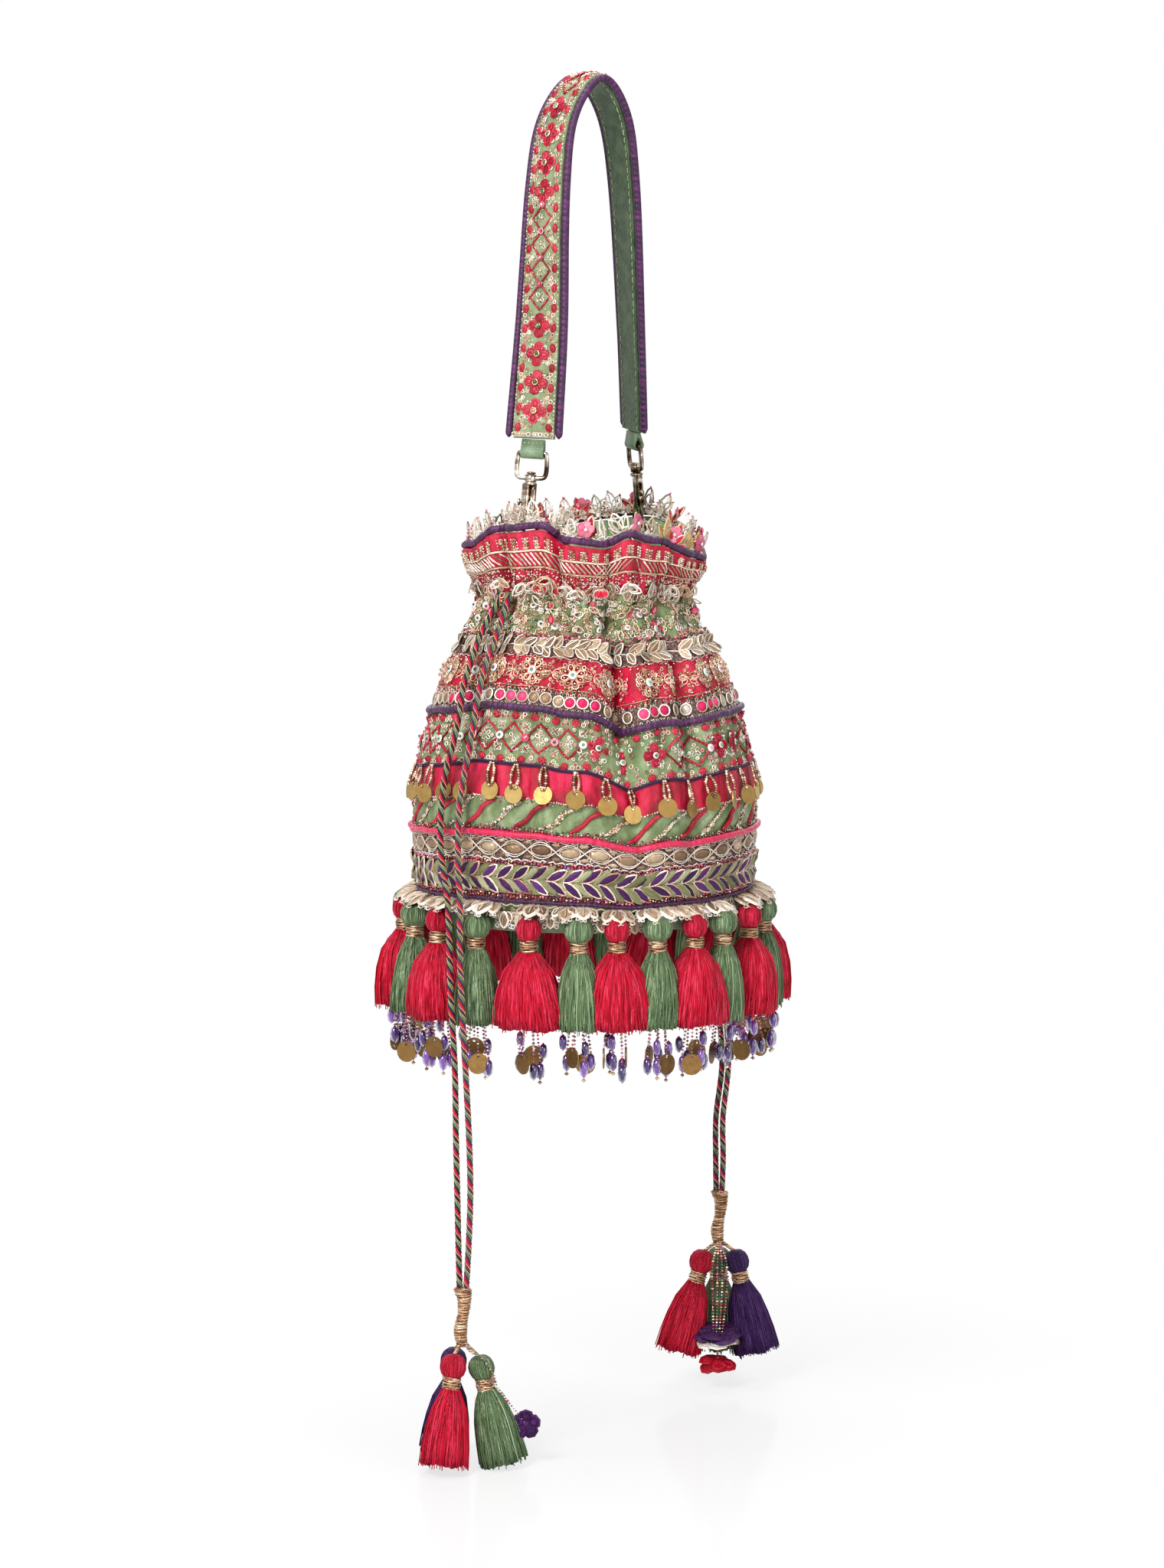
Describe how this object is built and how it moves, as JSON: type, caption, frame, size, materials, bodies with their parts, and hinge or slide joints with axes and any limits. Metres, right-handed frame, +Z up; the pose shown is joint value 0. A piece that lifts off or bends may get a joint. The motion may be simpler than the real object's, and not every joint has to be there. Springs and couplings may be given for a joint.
{
  "type": "potli bag",
  "caption": "Drawstring pouch with an embroidered body, a laced mouth, a clip-on strap, tassels round the hem and two tasselled cords.",
  "frame": {"origin": "underside of the top of the strap, where the bag is held", "axes": "+Z up along the hanging bag; +X from the near snap hook to the far one"},
  "size_m": [0.2956, 0.2131, 0.7231],
  "materials": {
    "shell_satin": "embroidered satin",
    "lining_satin": "satin",
    "base_satin": "satin over board",
    "gold_lace": "metallic thread lace",
    "purple_cord": "ribbed cord",
    "crimson_cord": "ribbed cord",
    "coin_metal": "stamped, slightly aged",
    "green_leather": "matt",
    "pale_gold_metal": "polished pale gold",
    "twisted_cord": "four-ply satin cord",
    "gold_thread": "wound metallic thread",
    "crimson_thread": "silky thread",
    "green_thread": "silky thread",
    "purple_thread": "silky thread"
  },
  "bodies": {
    "bag": {"bag_shell": "shell_satin", "bag_lining": "lining_satin", "base_panel": "base_satin", "mouth_lace": "gold_lace", "mouth_piping": "purple_cord", "swag_piping": "purple_cord", "coin_fringe": "coin_metal", "lower_piping": "crimson_cord", "hem_piping": "purple_cord", "hem_lace": "gold_lace", "strap_face": "shell_satin", "strap_backing": "green_leather", "strap_piping_front": "purple_cord", "strap_piping_rear": "purple_cord", "strap_tab_near": "green_leather", "strap_tab_far": "green_leather", "drawstring_near": "twisted_cord", "drawstring_far": "twisted_cord", "cord_binding_near": "gold_thread", "cord_binding_far": "gold_thread", "swivel_eye_near": "pale_gold_metal", "d_ring_near": "pale_gold_metal", "swivel_eye_far": "pale_gold_metal", "d_ring_far": "pale_gold_metal", "fringe_tassel_01": "green_thread", "fringe_tassel_02": "crimson_thread", "fringe_tassel_03": "green_thread", "fringe_tassel_04": "crimson_thread", "fringe_tassel_05": "green_thread", "fringe_tassel_06": "crimson_thread", "fringe_tassel_07": "green_thread", "fringe_tassel_08": "crimson_thread", "fringe_tassel_09": "green_thread", "fringe_tassel_10": "crimson_thread", "fringe_tassel_11": "green_thread", "fringe_tassel_12": "crimson_thread", "fringe_tassel_13": "green_thread", "fringe_tassel_14": "crimson_thread", "fringe_tassel_15": "green_thread", "fringe_tassel_16": "crimson_thread", "fringe_tassel_17": "green_thread", "fringe_tassel_18": "crimson_thread", "fringe_tassel_19": "green_thread", "fringe_tassel_20": "crimson_thread", "fringe_tassel_21": "green_thread", "fringe_tassel_22": "crimson_thread", "fringe_tassel_23": "green_thread", "fringe_tassel_24": "crimson_thread", "near_tassel_red": "crimson_thread", "near_tassel_green": "green_thread", "near_tassel_purple": "purple_thread", "far_tassel_red": "crimson_thread", "far_tassel_green": "green_thread", "far_tassel_purple": "purple_thread"},
    "hook_near": {"snap_hook_near": "pale_gold_metal", "bolt_spring_near": "pale_gold_metal"},
    "hook_far": {"snap_hook_far": "pale_gold_metal", "bolt_spring_far": "pale_gold_metal"},
    "bolt_near": {"snap_bolt_near": "pale_gold_metal"},
    "bolt_far": {"snap_bolt_far": "pale_gold_metal"}
  },
  "joints": [
    {"name": "near_swivel", "type": "hinge", "parent": "bag", "child": "hook_near", "pos_m": [-0.04936, 0, -0.19253], "axis": [0.1392, 0, 0.9903], "range_deg": [-5, 20]},
    {"name": "near_bolt_slide", "type": "slide", "parent": "hook_near", "child": "bolt_near", "axis": [0.1392, 0, 0.9903], "range_m": [0, 0.004], "stiffness_N_per_m": 120, "springref_m": -0.002, "deforming": ["bolt_spring_near"]},
    {"name": "far_swivel", "type": "hinge", "parent": "bag", "child": "hook_far", "pos_m": [0.04936, 0, -0.19253], "axis": [-0.1392, 0, 0.9903], "range_deg": [-7, 15]},
    {"name": "far_bolt_slide", "type": "slide", "parent": "hook_far", "child": "bolt_far", "axis": [-0.1392, 0, 0.9903], "range_m": [0, 0.004], "stiffness_N_per_m": 120, "springref_m": -0.002, "deforming": ["bolt_spring_far"]}
  ]
}
